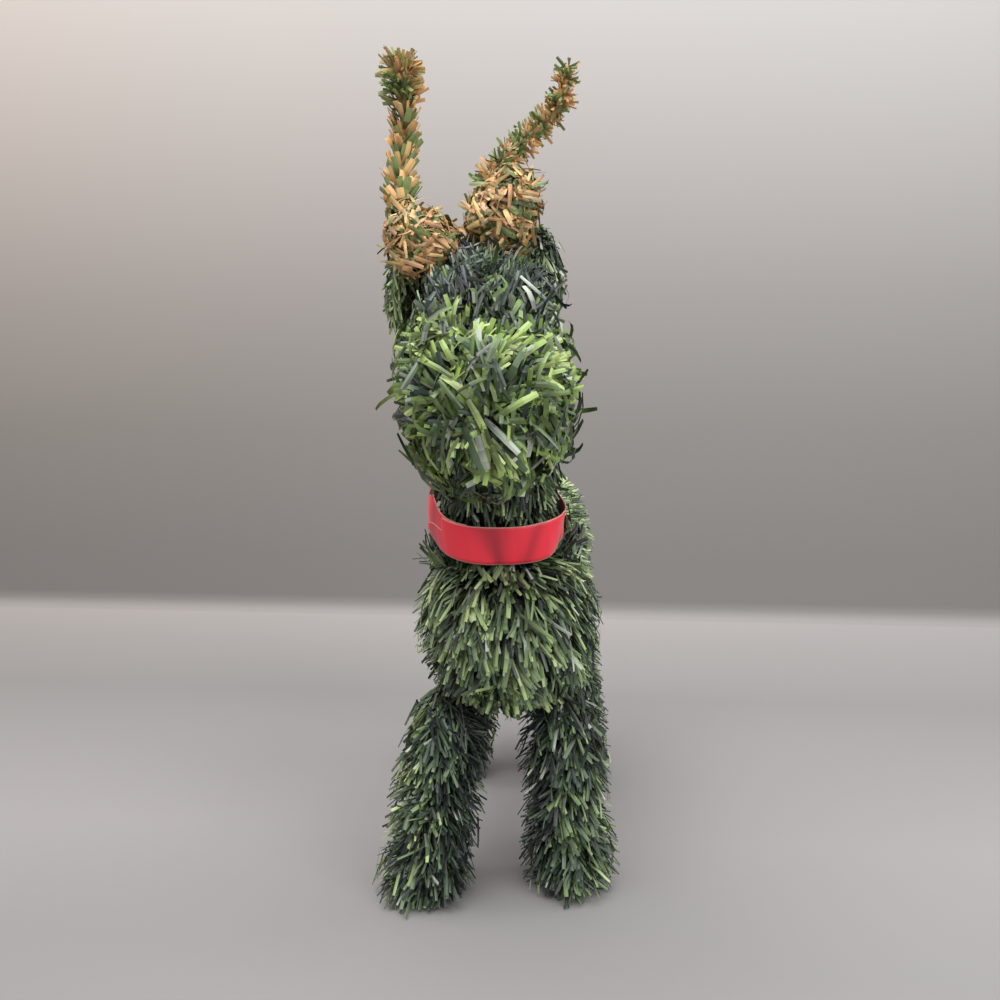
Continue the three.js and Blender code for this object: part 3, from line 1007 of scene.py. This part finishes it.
outwards = unit(np.cos(angles)[:, None] * loop_x + np.sin(angles)[:, None] * loop_y)
lean_out = 3 * mm * by_turn - 0.8 * mm * hump(places - 12, 24) - 1.8 * mm * by_lap
cup = (0.25 * mm + 0.9 * mm * by_lap)[:, None] * (1 - across**2) + lean_out[:, None] * across
cup = cup - crease_depth * crease_and_painted_shade
layers = []
for level in (0, 1):
    skin_points = (
        spine[:, None]
        + loop_axis * (half[:, None] * across)[:, :, None]
        + outwards[:, None] * (cup + level * ribbon_thickness)[:, :, None]
    )
    layers.append(skin_points.reshape(-1, 3))
grid = np.arange(stations * rows).reshape(stations, rows)
cells = grid[:-1, :-1], grid[1:, :-1], grid[1:, 1:], grid[:-1, 1:]
outer = np.stack([corners.ravel() for corners in cells], 1) + stations * rows
inner = np.stack([corners.ravel() for corners in cells[::-1]], 1)
rim = np.concatenate([grid[:, 0], grid[-1, 1:], grid[-2::-1, -1], grid[0, -2:0:-1]])
after = np.roll(rim, -1)
walls = np.stack([rim, after, after + stations * rows, rim + stations * rows], 1)
ends_cut = ((turned_by < 1) | (turned_by > 359 + lap)).astype(float)
ribbon_mesh = bpy.data.meshes.new("ribbon")
ribbon_mesh.from_pydata(
    np.concatenate(layers).tolist(), [], np.concatenate([outer, inner, walls]).tolist()
)
ribbon_mesh.polygons.foreach_set("use_smooth", [True] * len(ribbon_mesh.polygons))
for key, numbers in {
    "across": np.tile(across, stations * 2),
    "length": np.tile(np.repeat(run / (ribbon_width / 2), rows), 2),
    "face": np.repeat([0.0, 1.0], stations * rows),
    "crease_and_painted_shade": np.tile(0.8 * crease_and_painted_shade.ravel(), 2),
    "rim": np.tile(np.maximum(np.abs(across), ends_cut[:, None]).ravel(), 2),
}.items():
    layer = ribbon_mesh.attributes.new(key, "FLOAT", "POINT")
    layer.data.foreach_set("value", numbers.astype(np.float32))
ribbon = bpy.data.objects.new("ribbon", ribbon_mesh)
bpy.context.scene.collection.objects.link(ribbon)
ribbon_mesh.materials.append(satin())
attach(ribbon, "root")
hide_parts("ribbon_collar")

# %% [markdown]
# ## Floor, backdrop and light
#
# The figure stands on a pale grey sweep with painted light and shade, as in a small product
# studio. One large soft light hangs above it, a weaker one stands for a window at its left, a
# small cool lamp behind it lights its edges, and a warm lamp glows on the paper.

# %% Set the stage
# Backdrop paper under a soft lamp is never even, so its colour is graded as painted light and
# shade: palest where it bends up from the floor and high on the wall, and darkest low on the wall.
def backdrop_paper():
    """Matt paper in pale grey, with painted light and shade graded along the sweep."""
    material, output = new_material("matt backdrop paper, pale grey")
    place = add_node(material, "ShaderNodeTexCoord")
    axes = add_node(
        material, "ShaderNodeSeparateXYZ", links={"Vector": place.outputs["Object"]}
    )
    walked = add_node(
        material,
        "ShaderNodeMath",
        {"operation": "ADD"},
        {0: axes.outputs["Y"], 1: axes.outputs["Z"]},
    )
    share = add_node(
        material,
        "ShaderNodeMapRange",
        {"From Min": -0.4, "From Max": 1.4},
        {"Value": walked.outputs["Value"]},
    )
    colour = add_node(material, "ShaderNodeValToRGB", links={"Fac": share.outputs["Result"]})
    fill_ramp(colour, paper_painted_light_and_shade)
    surface = add_node(
        material,
        "ShaderNodeBsdfPrincipled",
        {"Roughness": 0.8},
        {"Base Color": colour.outputs["Color"]},
    )
    material.node_tree.links.new(surface.outputs["BSDF"], output.inputs["Surface"])
    return material


# Painted light and shade along the sweep, from the front of the floor to the top of the wall.
paper_painted_light_and_shade = [
    (0.0, "#8c8989"),
    (0.16, "#918f8f"),
    (0.23, "#9b9898"),
    (0.38, "#929090"),
    (0.47, "#a3a09f"),
    (0.555, "#b6b2b1"),
    (0.575, "#817e7c"),
    (0.61, "#817e7c"),
    (0.7, "#888582"),
    (0.79, "#979391"),
    (0.88, "#a9a5a3"),
    (1.0, "#bdbab8"),
]
sweep_half, sweep_front, sweep_back = 2.5, -2.5, 0.625
sweep_top, sweep_radius = 2.2, 0.02
turns = np.linspace(0, math.pi / 2, 17)
profile = [(sweep_front, 0.0)]
profile += [
    (sweep_back - sweep_radius * (1 - math.sin(t)), sweep_radius * (1 - math.cos(t))) for t in turns
]
profile.append((sweep_back, sweep_top))
sweep_points = [(x, y, z) for y, z in profile for x in (-sweep_half, sweep_half)]
sweep_faces = [(2 * i, 2 * i + 1, 2 * i + 3, 2 * i + 2) for i in range(len(profile) - 1)]
sweep_mesh = bpy.data.meshes.new("floor_and_backdrop")
sweep_mesh.from_pydata(sweep_points, [], sweep_faces)
sweep_mesh.polygons.foreach_set("use_smooth", [True] * len(sweep_faces))
sweep_mesh.materials.append(backdrop_paper())
sweep = bpy.data.objects.new("floor_and_backdrop", sweep_mesh)
bpy.context.scene.collection.objects.link(sweep)


def soft_light(name, place, size, power, colour="#ffffff", target=(0, 0, 0.2)):
    """A square lamp that looks at the middle of the figure, or at another target."""
    lamp = bpy.data.lights.new(name, "AREA")
    lamp.size = size
    lamp.energy = power
    lamp.color = linear(colour)[:3]
    light = bpy.data.objects.new(name, lamp)
    bpy.context.scene.collection.objects.link(light)
    light.location = place
    light.rotation_euler = (Vector(target) - Vector(place)).to_track_quat("-Z", "Y").to_euler()
    return light


soft_light("ceiling", (-0.2, -0.6, 1.7), 1.5, 36)
soft_light("window", (0.8, -0.9, 0.7), 0.8, 7)
soft_light("cool lamp", (0.75, 0.1, 0.9), 0.3, 2, "#f4f8ff")
soft_light("warm lamp", (-0.95, 0.1, 0.8), 0.5, 1.1, "#ffc890", target=(-0.5, 0.62, 0.75))
bpy.context.scene.view_settings.view_transform = "Standard"
world = bpy.data.worlds.new("studio")
bpy.context.scene.world = world
world.use_nodes = True
world.node_tree.nodes["Background"].inputs["Color"].default_value = linear("#e6e4e2")
world.node_tree.nodes["Background"].inputs["Strength"].default_value = 0.5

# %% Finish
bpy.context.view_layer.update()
